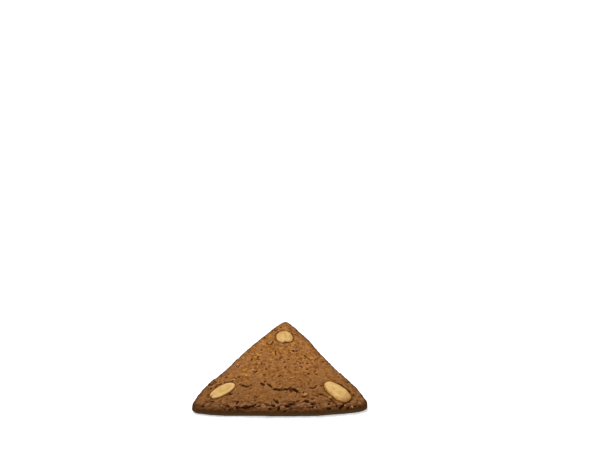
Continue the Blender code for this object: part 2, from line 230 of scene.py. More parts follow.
# The cracks that stand out, in millimetres: route, half width and depth. The first ten make up the long one.
CRACKS = (
    dict(
        route=((-19.2, -28.2), (-17.1, -29.8), (-13.7, -29.6), (-12.6, -28.4), (-8.6, -27.2)),
        half_width=0.4,
        depth=0.2,
    ),
    dict(
        route=((-27.2, -27.6), (-24.9, -28.6), (-22.9, -30.1), (-21.5, -29.6), (-18.8, -28.0)),
        half_width=0.75,
        depth=1.0,
    ),
    dict(route=((-14.0, -26.2), (-12.2, -27.4), (-10.8, -28.8)), half_width=1.0, depth=1.4),
    dict(route=((-11.2, -26.2), (-9.5, -23.2)), half_width=0.65, depth=1.0),
    dict(route=((-9.0, -26.5), (-7.3, -28.6), (-5.6, -29.9)), half_width=0.7, depth=1.0),
    dict(
        route=((-5.6, -30.9), (-3.8, -32.8), (-2.5, -32.3), (-1.5, -32.6), (0.2, -34.1), (1.6, -34.4)),
        half_width=0.65,
        depth=0.9,
    ),
    dict(route=((-4.8, -32.2), (-2.6, -32.7)), half_width=1.0, depth=1.5),
    dict(route=((1.2, -34.4), (3.2, -32.9), (4.4, -33.2), (5.8, -32.6)), half_width=1.0, depth=1.5),
    dict(route=((6.0, -31.9), (7.3, -33.0), (8.8, -33.2)), half_width=2.2, depth=1.0),
    dict(route=((9.0, -31.4), (10.3, -34.3), (11.6, -35.9), (13.8, -36.0)), half_width=1.0, depth=1.5),
    dict(route=((15.0, -37.1), (15.9, -36.2), (16.8, -36.0)), half_width=0.65, depth=1.1),
    dict(route=((14.1, -39.6), (15.6, -40.6), (17.1, -40.3)), half_width=0.65, depth=1.0),
    dict(
        route=((19.0, -32.2), (21.0, -31.4), (22.0, -32.4), (23.6, -30.2), (24.9, -28.7)),
        half_width=0.55,
        depth=0.8,
    ),
    dict(route=((21.2, -31.6), (22.6, -32.2)), half_width=1.0, depth=1.5),
    dict(route=((23.0, -31.0), (24.2, -29.7)), half_width=0.85, depth=1.2),
    dict(
        route=(
            (21.9, -38.8), (23.9, -39.1), (25.9, -38.6), (27.7, -37.3),
            (29.3, -38.6), (31.0, -39.6), (31.9, -41.4),
        ),
        half_width=0.55,
        depth=0.7,
    ),
    dict(route=((26.7, -37.8), (28.3, -37.4)), half_width=1.0, depth=1.4),
    dict(route=((29.8, -38.9), (31.4, -40.4)), half_width=0.8, depth=1.1),
    dict(route=((-50.8, -26.2), (-47.6, -28.2), (-44.6, -26.8), (-42.6, -27.6)), half_width=0.6, depth=0.7),
    dict(route=((-49.6, -27.0), (-47.2, -28.3)), half_width=1.1, depth=1.6),
    dict(route=((-45.2, -24.4), (-42.8, -25.4)), half_width=0.7, depth=1.0),
    dict(route=((-47.4, -32.8), (-45.6, -30.6)), half_width=0.7, depth=1.0),
    dict(route=((-34.4, -37.9), (-31.6, -37.1)), half_width=0.8, depth=1.2),
    dict(route=((-17.0, -38.6), (-15.9, -39.8), (-14.8, -41.9)), half_width=0.55, depth=0.7),
    dict(route=((-1.6, -27.9), (0.0, -27.4), (1.4, -27.8)), half_width=0.6, depth=0.7),
    dict(route=((7.0, 12.3), (8.3, 11.9), (9.4, 10.6), (11.6, 12.2)), half_width=0.95, depth=1.3),
    dict(route=((16.2, 5.9), (18.4, 3.0), (21.4, -0.7)), half_width=0.7, depth=0.9),
    dict(route=((-18.2, 3.0), (-16.8, 3.6), (-15.7, 6.2)), half_width=0.7, depth=0.8),
    dict(route=((-4.4, 12.4), (-4.6, 8.6), (-4.1, 5.2)), half_width=0.6, depth=0.7),
    dict(route=((-5.9, 24.6), (-6.8, 22.2), (-8.6, 18.2)), half_width=0.75, depth=0.7),
    dict(route=((-11.2, 22.4), (-9.4, 19.0)), half_width=0.7, depth=0.7),
    dict(route=((2.5, -9.9), (3.0, -8.4), (3.9, -6.0)), half_width=0.65, depth=0.8),
    dict(route=((-21.5, 2.6), (-20.8, 0.6), (-21.4, -1.8)), half_width=0.6, depth=0.7),
    dict(route=((-19.2, -14.9), (-17.4, -14.0), (-16.2, -12.6)), half_width=0.75, depth=1.3),
    dict(route=((-31.6, -6.8), (-29.8, -8.9)), half_width=0.7, depth=0.9),
    dict(route=((-29.8, -19.8), (-27.4, -18.8)), half_width=0.7, depth=0.9),
    dict(route=((13.0, -6.6), (14.4, -8.2), (15.4, -9.2)), half_width=0.7, depth=0.7),
    dict(route=((-1.8, -19.0), (-0.4, -18.0), (0.6, -16.6)), half_width=0.7, depth=0.9),
    dict(route=((24.2, -15.2), (25.4, -17.9)), half_width=0.65, depth=0.9),
    dict(route=((-36.5, -25.1), (-34.0, -24.6), (-31.9, -23.1)), half_width=0.6, depth=0.8),
    dict(route=((-3.8, -42.6), (-1.9, -45.0), (-0.3, -46.8)), half_width=1.0, depth=1.4),
    # Those where the crust tore beside an almond.
    dict(route=((38.6, -25.4), (41.3, -27.9), (43.4, -30.8)), half_width=0.6, depth=0.8),
    dict(route=((45.4, -33.6), (47.5, -35.8)), half_width=0.75, depth=1.0),
    dict(route=((48.0, -37.4), (49.2, -38.5)), half_width=0.9, depth=1.1),
    dict(route=((32.7, -41.2), (35.2, -44.3), (37.7, -46.6)), half_width=0.65, depth=0.8),
    dict(route=((39.0, -47.4), (40.7, -48.0)), half_width=0.75, depth=1.0),
    dict(route=((27.4, -28.2), (28.4, -29.8)), half_width=0.9, depth=1.3),
    dict(route=((-44.8, -31.4), (-42.4, -28.5), (-39.9, -26.0)), half_width=0.5, depth=0.6),
    dict(route=((-50.2, -27.2), (-47.9, -28.6)), half_width=1.0, depth=1.4),
    dict(route=((-6.0, 37.8), (-3.1, 40.2)), half_width=0.6, depth=0.7),
)
# Single pits on the top that stand out: X and Y, in millimetres.
PITS = (
    (-3.5, 36.0), (-8.3, 16.1), (3.3, 16.7), (-14.6, 12.3), (-0.1, 2.6), (-3.1, 0.5), (17.7, 7.9),
    (5.3, 0.6), (2.2, -2.5), (13.5, -4.0), (18.3, -3.7), (18.4, -11.1), (30.1, -1.6), (-11.7, -4.8),
    (-10.1, -10.1), (-15.9, -6.2), (19.1, -16.1), (20.6, -23.2), (28.2, -28.5), (-11.0, -17.1),
    (0.2, -40.8), (-27.5, -36.8), (48.4, -38.2), (-26.8, -28.1), (-0.9, 42.4), (6.8, 38.1), (7.5, 33.8),
    (11.4, 8.3), (-47.4, -37.4), (-38.7, -45.6),
)
FISSURES = 30  # short cracks, drawn at random
FISSURE_STEP = (0.8 * MM, 1.6 * MM)
FISSURE_STEPS = (1, 3)
FISSURE_TURN = 1.1
FISSURE_HALF_WIDTH = (0.4 * MM, 0.65 * MM)
FISSURE_DEPTH = (0.35 * MM, 0.75 * MM)
CRACK_FADE = 1.1 * MM  # over this length at its ends a crack comes to its full depth and width,
CRACK_END_DEPTH = 0.1  # of which it has these shares where it begins
CRACK_END_WIDTH = 0.4
CRACK_BREADTH = 1.05  # all cracks are this much wider than their sizes above say,
CRACK_SWELLS = (0.6, 1.6 * MM, 61)  # and by this noise wider and narrower by turns
JAGS = ((0.45 * MM, 2.3 * MM, 5), (0.4 * MM, 1.0 * MM, 7))  # how a crack's line strays

# Oval hollows. Those of the rims that stand out are given by their place, half length and depth in
# millimetres, by how many times longer than wide they are, and by their turn from level.
RIM_CAVES = (
    dict(place=(-22.6, -50.7, 6.5), half_length=4.2, slimness=2.8, depth=1.7, turn=0.1),
    dict(place=(-16.9, -48.9, 7.4), half_length=2.0, slimness=1.9, depth=1.4, turn=0.6),
    dict(place=(-12.9, -49.5, 7.2), half_length=1.8, slimness=1.7, depth=1.2, turn=0.5),
    dict(place=(-4.1, -48.0, 7.7), half_length=2.0, slimness=1.6, depth=1.5, turn=-0.3),
    dict(place=(-6.2, -51.2, 6.1), half_length=1.6, slimness=1.4, depth=1.3, turn=0.2),
    dict(place=(-1.2, -51.2, 6.1), half_length=1.6, slimness=1.5, depth=1.3, turn=0.9),
    dict(place=(3.4, -52.0, 4.6), half_length=1.4, slimness=1.5, depth=1.0, turn=0.2),
    dict(place=(-50.4, -48.6, 7.4), half_length=1.4, slimness=1.3, depth=1.3, turn=0.5),
    dict(place=(-34.0, -49.5, 7.3), half_length=2.2, slimness=2.2, depth=1.4, turn=-0.6),
    dict(place=(-28.2, -45.8, 7.8), half_length=2.2, slimness=2.2, depth=1.2, turn=0.8),
    dict(place=(-27.8, -50.6, 6.7), half_length=1.7, slimness=1.5, depth=1.3, turn=0.4),
    dict(place=(7.2, -47.4, 7.8), half_length=4.2, slimness=2.9, depth=1.9, turn=-0.1),
    dict(place=(17.8, -44.7, 7.8), half_length=2.4, slimness=1.7, depth=1.3, turn=-0.2),
    dict(place=(21.6, -49.3, 7.4), half_length=2.2, slimness=2.4, depth=1.5, turn=0.6),
    dict(place=(24.3, -49.5, 7.3), half_length=1.3, slimness=1.8, depth=1.3, turn=-1.0),
    dict(place=(32.3, -47.1, 7.8), half_length=1.2, slimness=1.4, depth=1.2, turn=0.0),
    dict(place=(32.2, -51.1, 6.2), half_length=1.6, slimness=1.5, depth=1.3, turn=0.2),
    dict(place=(37.7, -49.3, 7.5), half_length=1.2, slimness=1.5, depth=1.1, turn=1.2),
    dict(place=(41.4, -49.9, 7.2), half_length=3.4, slimness=3.4, depth=1.3, turn=0.7),
    dict(place=(45.1, -51.0, 6.4), half_length=1.2, slimness=1.4, depth=1.2, turn=1.2),
    dict(place=(49.8, -49.2, 7.5), half_length=1.7, slimness=2.0, depth=1.1, turn=0.3),
    dict(place=(-11.9, 32.4, 7.0), half_length=1.3, slimness=1.6, depth=1.0, turn=0.0),
    dict(place=(-32.9, -3.0, 7.0), half_length=1.0, slimness=1.4, depth=0.8, turn=0.0),
    dict(place=(-37.4, -19.4, 7.6), half_length=1.0, slimness=1.4, depth=0.8, turn=0.0),
)
# The pits' sizes, and the hollows whose places are drawn as well.
PIT_SIZES = dict(half_length=(1.1, 1.6), slimness=(1.0, 1.5), depth=(0.4, 0.65))
RIM_HOLLOWS = dict(number=8, half_length=(0.8, 2.0), slimness=(1.5, 2.8), depth=(0.4, 0.9), turn=0.6)
SIDE_HOLLOWS = dict(number=50, half_length=(0.5, 1.2), slimness=(1.0, 2.5), depth=(0.3, 0.7), turn=0.9)
PORES = dict(number=55, half_length=(0.8, 1.5), slimness=(1.0, 2.4), depth=(0.25, 0.55), turn=math.pi)
HOLLOW_RISE = 2.0  # a hollow reaches this many half lengths up and down from the crust at its middle
RIM_REACH = 8 * MM  # the drawn hollows of the front rim lie this near to its edge,
SIDE_REACH = 2.5 * MM  # those of the other sides, and the crags there, this near to theirs,
HOLLOWS_ABOVE = 2.5 * MM  # and the hollows of both above this height
EDGE_MARGIN = 2.5 * MM  # pores, fissures and golden spots lie further in than this
ALMOND_CLEARANCE = 2 * MM
RAGGED = (0.75, 1.5 * MM, 97)  # noise that makes the hollows' outlines uneven

# The broken rim: clods with cracks between them, and creases over them. The band is at its full depth up to
# the first distance from the edge and ends at the second, each moved in and out by noise.
CRAG_BAND = (5.5 * MM, 11 * MM)
BAND_WANDER = (2.0 * MM, 6 * MM, 71)
CLODS = ((0.6 * MM, 4.2 * MM, 19), (0.15 * MM, 1.9 * MM, 29))
CLOD_CRACK = 0.45  # from a crack's bed to the top of a clod, as a share of its size
CREASES = ((0.5 * MM, 4.8 * MM, 77), (0.12 * MM, 1.8 * MM, 89))
CREASE_SHARPNESS = 2.2  # the more, the narrower the creases are beside the lumps between them
CRAG_SWELLING = 0.5 * MM  # the clods stand this far out again
CRAG_STRETCH = 0.6  # a length along X counts this much, which makes crags longer that way
CRAG_LEAN = 0.4  # how far crags lean out of the biscuit, as a share of their height
CRAG_FOOT = (2.5 * MM, 6.0 * MM)  # the crags fade out between these heights
SIDE_CRAGS = 0.15  # the other rims' share of the front rim's crags
SIDE_LUMPS = 0.35  # the sides' share of the top's lumps
SIDE_SPREAD = 0.45 * MM  # the two long sides stand this far outside the softened form,
FRONT_SPREAD = 0.2 * MM  # and the front this far
SPREAD_REACH = (4.0 * MM, 1.5 * MM)  # begins at the first distance in from the edge, full at the second
BOX_MARGIN = 0.3 * MM  # what comes this near to a side of the box is drawn in
FLAT_BELOW = 0.15 * MM

# The seat of an almond: a crease in the dough round it, and the dough under it.
NEAR_ALMOND = 3 * MM  # no crease runs further out than this
PRESS_GAP = 0.15 * MM
CREASE_DEPTH = 0.35 * MM
CREASE_REACH = 1.6 * MM  # how far it runs out beyond the almond's side,
CREASE_LEAST = 0.5  # and the least share of that where it is narrow
ALMOND_SWELL = 0.05 * MM  # round its waist an almond is this much larger than its solid, to meet the dough
SEED = 11

draw = random.Random(SEED)


def waves(points, length, place):
    """Smooth noise between about -1 and 1 at each point, in waves of this length."""
    shift = Vector((place, -place, 2.0 * place))
    return np.array([noise.noise(Vector(point) / length + shift) for point in points])


def unevenness(points, height, length, place):
    """Waves of this height."""
    return height * waves(points, length, place)


def creases(points, length, place):
    """1 in the sharp creases between round lumps of about this size, falling to 0 on the lumps."""
    return 1.0 - np.minimum(1.0, CREASE_SHARPNESS * abs(waves(points, length, place)))


def cell_borders(points, length, place):
    """0 on the border between two cells of about this size, rising towards 1 in their middles."""
    shift = Vector((place, -place, 2.0 * place))
    gaps = []
    for point in points:
        near = noise.voronoi(Vector(point) / length + shift)[0]
        gaps.append(near[1] - near[0])
    return np.array(gaps)


def strayed(points, jags):
    """The points, each moved a little by noise, so that a line drawn on them comes out uneven."""
    for reach, length, place in jags:
        ways = [waves(points, length, place + apart) for apart in (0, 31, 67)]
        points = points + reach * np.column_stack(ways)
    return points


def groove(plan, swell, route, half_width, depth):
    """Depth of a crack along a route at each point in plan, steep at its lips and running out at its ends."""
    route = np.array(route)
    steps = np.diff(route, axis=0)
    runs = np.linalg.norm(steps, axis=1)
    length = runs.sum()
    start = 0.0
    deepest = np.zeros(len(plan))
    for knot, step, run in zip(route, steps, runs):
        share = np.clip((plan - knot) @ step / run**2, 0.0, 1.0)
        along = start + share * run
        fade = np.clip(CRACK_END_DEPTH + np.minimum(along, length - along) / CRACK_FADE, 0.0, 1.0)
        away = np.linalg.norm(plan - knot - share[:, None] * step, axis=1)
        away /= half_width * swell * (CRACK_END_WIDTH + (1.0 - CRACK_END_WIDTH) * fade)
        deepest = np.maximum(deepest, depth * fade * np.sqrt(np.clip(1.0 - away**2, 0.0, 1.0)))
        start += run
    return deepest


def clear_of_almonds(point):
    surfaces = almond_surfaces.values()
    return all(surface.find_nearest(Vector(point), ALMOND_CLEARANCE)[0] is None for surface in surfaces)


def on_crust(margin):
    """A random place on the top of the crust, this far or more inside its edge, and clear of the almonds."""
    while True:
        index = draw.randrange(count)
        if top[index] == 1.0 and inset[index] > margin and clear_of_almonds(form[index]):
            return index


def on_side(front_side):
    """A random place on the front's rim and the face below it, or on another side."""
    reach = RIM_REACH if front_side else SIDE_REACH
    while True:
        index = draw.randrange(count)
        near_edge = form[index, 2] > HOLLOWS_ABOVE and inset[index] < reach
        if near_edge and (front[index] > 0.5) == front_side and clear_of_almonds(form[index]):
            return index


def nearest_on_top(x, y):
    """The point of the crust's top nearest to a place in plan."""
    off_the_top = np.where(top > 0.9, 0.0, 1.0)  # puts such a point a metre further away
    return int(np.argmin(np.hypot(form[:, 0] - x, form[:, 1] - y) + off_the_top))


def drawn_sizes(kind):
    """Half length, slimness and depth of one hollow, each drawn between this kind's two limits."""
    return [draw.uniform(*kind[size]) for size in ("half_length", "slimness", "depth")]


def oval_hollow(spots, index, half_length, slimness, depth, turn):
    """How deep, in metres, a hollow round one point of the crust is at each spot. Its sizes are in mm."""
    normal = Vector(out[index])
    level = Vector((-outwards[index, 1], outwards[index, 0], 0.0))
    level = (level - normal * level.dot(normal)).normalized()
    along = Matrix.Rotation(turn, 3, normal) @ level
    across = normal.cross(along)
    across_share = across * (slimness / half_length)
    axes = np.array((along / half_length, across_share, normal / (HOLLOW_RISE * half_length)))
    spread = ((spots - spots[index]) @ axes.T / MM) ** 2
    return depth * MM * smoothstep(1.0, 0.0, spread.sum(axis=1) * ragged)


def held_within(points, low, high):
    """The points, with those near or beyond a side of the box brought just inside it, without a flat spot."""
    for end, way in ((high, 1.0), (low, -1.0)):
        beyond = np.maximum(0.0, (points - end) * way / BOX_MARGIN + 1.0)
        points = points - way * BOX_MARGIN * (beyond - np.tanh(beyond))
    return points


jagged = strayed(form, JAGS)
plan = jagged[:, :2]
swell = CRACK_BREADTH + unevenness(form, *CRACK_SWELLS)
cracked = np.zeros(count)
for crack in CRACKS:
    route = np.array(crack["route"]) * MM
    depth = groove(plan, swell, route, crack["half_width"] * MM, crack["depth"] * MM)
    cracked = np.maximum(cracked, depth)
for _ in range(FISSURES):
    route = [form[on_crust(EDGE_MARGIN), :2]]
    heading = draw.uniform(-math.pi, math.pi)
    for _ in range(draw.randint(*FISSURE_STEPS)):
        step = draw.uniform(*FISSURE_STEP)
        route.append(route[-1] + step * np.array((math.cos(heading), math.sin(heading))))
        heading += draw.uniform(-FISSURE_TURN, FISSURE_TURN)
    depth = groove(plan, swell, route, draw.uniform(*FISSURE_HALF_WIDTH), draw.uniform(*FISSURE_DEPTH))
    cracked = np.maximum(cracked, depth)

ragged = 1.0 + unevenness(form, *RAGGED)
hollows = []
for cave in RIM_CAVES:
    index = np.argmin(np.linalg.norm(form - np.array(cave["place"]) * MM, axis=1))
    hollows.append((index, cave["half_length"], cave["slimness"], cave["depth"], cave["turn"]))
for x, y in PITS:
    index = nearest_on_top(x * MM, y * MM)
    hollows.append((index, *drawn_sizes(PIT_SIZES), draw.uniform(0.0, math.pi)))
for kind, a_place in (
    (PORES, lambda: on_crust(EDGE_MARGIN)),
    (RIM_HOLLOWS, lambda: on_side(True)),
    (SIDE_HOLLOWS, lambda: on_side(False)),
):
    for _ in range(kind["number"]):
        sizes = drawn_sizes(kind)
        hollows.append((a_place(), *sizes, draw.uniform(-kind["turn"], kind["turn"])))
hollowed = np.zeros(count)
for hollow in hollows:
    hollowed = np.maximum(hollowed, oval_hollow(jagged, *hollow))

craze = 1.0 - smoothstep(*CRAZE_WIDTH, cell_borders(jagged, *CRAZE_CELLS))
craze *= smoothstep(*CRAZE_PATCH_EDGE, waves(form, *CRAZE_PATCHES))

band = smoothstep(CRAG_BAND[1], CRAG_BAND[0], inset + unevenness(form, *BAND_WANDER))
crag_share = band * front * smoothstep(*CRAG_FOOT, form[:, 2])
broken = np.maximum(crag_share, SIDE_CRAGS * smoothstep(SIDE_REACH, 0.0, inset))
stretched = jagged * (CRAG_STRETCH, 1.0, 1.0)
crags = np.zeros(count)
for height, length, place in CLODS:
    rounding = np.sqrt(smoothstep(0.0, CLOD_CRACK, cell_borders(stretched, length, place)))
    crags += height * (1.0 - rounding)
for height, length, place in CREASES:
    crags += height * creases(stretched, length, place)
crags *= broken

relief = sum(unevenness(form, *lumps) for lumps in LUMPS)
relief *= SIDE_LUMPS + (1.0 - SIDE_LUMPS) * top
relief += CRAG_SWELLING * crag_share - CRAZE_DEPTH * craze * top - crags
relief += (SIDE_SPREAD + (FRONT_SPREAD - SIDE_SPREAD) * front) * smoothstep(*SPREAD_REACH, inset)
sinking = out + (0.0, 0.0, 1.0)
sinking /= np.maximum(1.0, np.linalg.norm(sinking, axis=1))[:, None]
sunk = np.maximum(cracked * top, hollowed)
points = form + (out * relief[:, None] - sinking * sunk[:, None]) * above_foot[:, None]
points[:, :2] -= CRAG_LEAN * outwards * (crags * above_foot * top)[:, None]

# The crease value shapes the crease round each almond and also carries its painted shade in the crust's
# colour.
crease = np.zeros(count)
for name, surface in almond_surfaces.items():
    low, high = (np.array(corner)[:2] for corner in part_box(name))
    near = np.all((points[:, :2] > low - NEAR_ALMOND) & (points[:, :2] < high + NEAR_ALMOND), axis=1)
    for index in np.flatnonzero(near & (top > 0.0)):
        x, y, z = points[index]
        under = surface.ray_cast(Vector((x, y, 0.0)), Vector((0.0, 0.0, 1.0)))[0]
        if under is not None:
            points[index, 2] = min(z, under.z - PRESS_GAP)
            crease[index] = 1.0
        else:
            away = surface.find_nearest(points[index])[3]
            away = max(0.0, away - ALMOND_SWELL) / (CREASE_REACH * max(CREASE_LEAST, ragged[index]))
            crease[index] = max(crease[index], math.exp(-(away**2)))
            points[index, 2] -= CREASE_DEPTH * crease[index]

points[form[:, 2] < FLAT_BELOW, 2] = 0.0
points[:, :2] = held_within(points[:, :2], cad_low[:2], cad_high[:2])
move_points(dough.data, points)
dough.data.shade_smooth()
crust_out = normals_of(dough.data)


# --- Baked dough: its browning, painted shade and painted highlight ---------------------------------------
# The crust is matt: golden brown where it is thin over nut and sugar, a duller mauve brown in patches, with
# painted highlight on the lips of hollows and the rim's lumps, painted shade in every hollow, crack and
# crease, and darkest along the rims, the cut sides and the foot, where it is browned and partly painted
# shade.

# Fine hollows and broad dips are painted darker and their lips and lumps lighter: painted shade and painted
# highlight.
EVEN_FINE = 10  # rounds of evening out, against which fine hollows and lips show,
EVEN_BROAD = 78  # and broad dips and lumps
HOLLOW_FINE = 0.12 * MM  # the depths of these that count as 1
HOLLOW_BROAD = 0.35 * MM
RIM_BROWNING_AND_SHADE = (9 * MM, 1 * MM)  # rims browned and partly painted shade, from the first distance in from the edge, full at the second
FRONT_BROWNING_AND_SHADE = (10 * MM, -46 * MM)  # the front half is darker, baked a little browner and partly painted shade
SIDE_BROWNING_AND_SHADE = 0.35  # the two long sides' share of the front rim's browning and painted shade,
RIGHT_BROWNING_AND_SHADE = 0.35  # how much more the right one has,
RIGHT_FACING = (0.3, 0.9)
CORNER_BROWNING_AND_SHADE = (-18 * MM, -40 * MM)  # and the places along Y between which both come up to the front's
DARKEST_DEPTH = 0.85 * MM  # a hollow this deep counts as 1 in the painted shade of hollows,
DEEPEST_SHADE = 1.4  # and none as more than this
CRAG_SHADE = 0.22  # a crag's crack counts this much towards the painted shade of a hollow as deep as it
PALE_LIPS = 0.3  # how much painted highlight the lip of a hollow gets on the open top, as a share of what a crag's gets
DARK_EDGE = (3.4 * MM, 1.5 * MM)  # the sides darken, browned and partly painted shade, from the first distance in from their edge,
FRONT_SPARED = 0.6  # and the front this much less
BARE_FOOT = (0.8 * MM, 7.0 * MM)  # the foot's colour, browning and painted shade, is full at the first height and ends at the second
DOUGH_TRIANGLES = 185_000

# Places where sugar and nut lie close under the crust and turned golden: X, Y and radius in millimetres.
GOLDEN_SPOTS = (
    (-14.3, 19.6, 2.8), (-23.0, -17.4, 2.4), (-18.8, -12.4, 1.6), (15.0, 11.1, 1.4), (16.2, -38.2, 1.8),
    (8.5, 21.5, 1.6), (-19.7, 15.7, 1.3), (21.7, 2.0, 1.4), (29.0, 0.9, 1.4), (13.7, -9.0, 1.1),
    (-9.2, 29.9, 1.6), (14.4, 23.1, 1.3), (7.4, -20.6, 1.3), (5.0, -16.5, 1.1), (-21.0, -40.2, 1.4),
    (7.1, -39.2, 1.4),
)
MORE_GOLDEN_SPOTS = 30
GOLDEN_SPOT_RADIUS = (0.9 * MM, 1.8 * MM)
GOLDEN_EDGE = (1.4, 0.5)  # shares of its radius at which a spot's gold begins and is full


def keep_values(mesh, **values):
    """Stores a number for each point of the mesh, which the piece's material reads by its name."""
    for name, numbers in values.items():
        layer = mesh.attributes.new(name, "FLOAT", "POINT")
        layer.data.foreach_set("value", numbers.astype(np.float32))


golden = np.zeros(count)
spots = [(x * MM, y * MM, radius * MM) for x, y, radius in GOLDEN_SPOTS]
for _ in range(MORE_GOLDEN_SPOTS):
    x, y, _ = form[on_crust(EDGE_MARGIN)]
    spots.append((x, y, draw.uniform(*GOLDEN_SPOT_RADIUS)))
for x, y, radius in spots:
    away = np.hypot(plan[:, 0] - x, plan[:, 1] - y) / radius
    golden = np.maximum(golden, smoothstep(*GOLDEN_EDGE, away))

to_the_right = SIDE_BROWNING_AND_SHADE + RIGHT_BROWNING_AND_SHADE * smoothstep(*RIGHT_FACING, outwards[:, 0])
to_the_corners = smoothstep(*CORNER_BROWNING_AND_SHADE, form[:, 1])
fine = ((dough_web.smoothed(points, EVEN_FINE) - points) * out).sum(axis=1) / HOLLOW_FINE
broad = ((dough_web.smoothed(points, EVEN_BROAD) - points) * out).sum(axis=1) / HOLLOW_BROAD
# Of these, hollow and dip carry painted shade and highlight, crack the painted shade of hollows, rim, baked,
# side and foot browning with painted shade, and crease the painted shade round the almonds.
keep_values(
    dough.data,
    hollow=np.clip(fine, -PALE_LIPS - (1.0 - PALE_LIPS) * crag_share, 1.0),
    dip=np.clip(broad, -1.0, 1.0),
    crack=np.clip((sunk + crags * CRAG_SHADE) / DARKEST_DEPTH, 0.0, DEEPEST_SHADE),
    rim=smoothstep(*RIM_BROWNING_AND_SHADE, inset) * np.maximum(front, np.maximum(to_the_right, to_the_corners)),
    baked=smoothstep(*FRONT_BROWNING_AND_SHADE, form[:, 1]),
    side=np.maximum(1.0 - top, smoothstep(*DARK_EDGE, inset) * (1.0 - FRONT_SPARED * front)),
    foot=1.0 - smoothstep(*BARE_FOOT, form[:, 2]),
    crease=crease,
    golden=golden * top,
)
fewer = dough.modifiers.new("fewer faces", "DECIMATE")
fewer.ratio = DOUGH_TRIANGLES / (2 * len(dough.data.polygons))
apply_modifiers(dough)


class Wire:
    """One output of a shader node. Sums, differences and products with it become Math nodes."""

    def __init__(self, mixture, socket):
        self.mixture = mixture
        self.socket = socket

    def math(self, operation, first, second):
        return self.mixture.node("ShaderNodeMath", {"operation": operation}, {0: first, 1: second})

    def __add__(self, other):
        return self.math("ADD", self, other)

    def __sub__(self, other):
        return self.math("SUBTRACT", self, other)

    def __rsub__(self, other):
        return self.math("SUBTRACT", other, self)

    def __mul__(self, other):
        return self.math("MULTIPLY", self, other)

    __radd__ = __add__
    __rmul__ = __mul__

    def step(self, low, high):
        """0 below low and 1 above high, with a smooth rise between them."""
        return self.mixture.node(
            "ShaderNodeMapRange",
            {"interpolation_type": "SMOOTHSTEP"},
            {"Value": self, "From Min": low, "From Max": high},
        )


class Mixture:
    """The shader nodes of a material or of the room."""

    def __init__(self, tree):
        self.nodes = tree.nodes
        self.links = tree.links

    def feed(self, socket, value):
        if isinstance(value, Wire):
            self.links.new(value.socket, socket)
        else:
            socket.default_value = value

    def node(self, kind, settings=None, sockets=None, output=0):
        made = self.nodes.new(kind)
        for name, value in (settings or {}).items():
            setattr(made, name, value)
        for key, value in (sockets or {}).items():
            self.feed(made.inputs[key], value)
        return Wire(self, made.outputs[output])


class Finish(Mixture):
    """A material on one Principled shader. What is the same all over it is given by the socket's name."""

    def __init__(self, name, plain):
        self.material = bpy.data.materials.new(name)
        self.material.use_nodes = True
        super().__init__(self.material.node_tree)
        self.shader = self.nodes["Principled BSDF"]
        self.place = self.node("ShaderNodeTexCoord", output="Object")
        for socket, value in plain.items():
            self.shader.inputs[socket].default_value = value

    def value(self, name):
        """A number that the mesh keeps at its points."""
        return self.node("ShaderNodeAttribute", {"attribute_name": name}, output="Fac")

    def grain(self, length, detail=2.0, place=0.0):
        """Noise around 0.5 in waves of this length."""
        shift = {0: self.place, 1: (place, place, -place)}
        moved = self.node("ShaderNodeVectorMath", {"operation": "ADD"}, shift)
        sockets = {"Vector": moved, "Scale": 1.0 / length, "Detail": detail}
        return self.node("ShaderNodeTexNoise", sockets=sockets)

    def blend(self, first, second, share):
        """From the first colour to the second. A Mix node's inputs 6 and 7 and output 2 are its colours."""
        return self.node(
            "ShaderNodeMix",
            {"data_type": "RGBA", "clamp_factor": True},
            {"Factor": share, 6: first, 7: second},
            output=2,
        )

    def bump(self, height, distance):
        return self.node("ShaderNodeBump", sockets={"Height": height, "Distance": distance}, output="Normal")


def tone(red, green, blue):
    """A colour as it looks on a screen, from 0 to 255, as the linear colour that a shader takes."""
    linear = [((c / 255 + 0.055) / 1.055) ** 2.4 for c in (red, green, blue)]
    return (*linear, 1.0)


BROWN = tone(142, 90, 38)
LOW = tone(112, 62, 4)
HIGH = tone(177, 121, 69)
OCHRE = tone(154, 100, 34)
GOLDEN = tone(192, 132, 52)
MAUVE = tone(148, 102, 66)
# From here on: painted shade for hollows and the foot, browning with painted shade for the rims, sides and
# lower faces, a painted highlight for the rim's lumps, and painted shade for the creases round the almonds.
SHADE = tone(100, 57, 14)
DEEP = tone(78, 39, 6)
SIDE_HOLLOW_SHADE = tone(54, 31, 12)
RIM = tone(110, 71, 38)
SIDE = tone(80, 48, 20)
FACE = tone(76, 44, 14)
RIM_HIGHLIGHT = tone(158, 113, 84)
FOOT = tone(78, 62, 44)
CREASE = tone(112, 66, 6)

crust = Finish("baked crust", {"Metallic": 0.0, "Specular IOR Level": 0.05})
hollow = crust.value("hollow")
dip = crust.value("dip")
foot = crust.value("foot")
mottling = crust.grain(4.5 * MM) * 0.6
mottling = mottling + crust.grain(2.4 * MM, 1.0, 0.4) * 1.3 + crust.grain(1.5 * MM, 1.0, 0.3) * 1.3
# Hollows and dips get painted shade, and the lips and lumps between them painted highlight.
colour = crust.blend(LOW, HIGH, mottling - 1.12 - hollow * 0.6 - dip * 0.4)
colour = crust.blend(colour, OCHRE, crust.grain(6 * MM, 1.0, 0.2).step(0.48, 0.68) * 0.4)
colour = crust.blend(colour, MAUVE, crust.grain(7 * MM, 1.0, 0.6).step(0.48, 0.64) * 0.35)
sugar = crust.value("golden") * crust.grain(1.8 * MM, 1.0, 0.8).step(0.25, 0.48)
colour = crust.blend(colour, GOLDEN, sugar * 0.8)
# The front half and the rims are darker: browned, and partly painted shade.
colour = crust.blend(colour, RIM, crust.value("baked") * 0.55)
colour = crust.blend(colour, RIM, crust.value("rim") * 0.4)
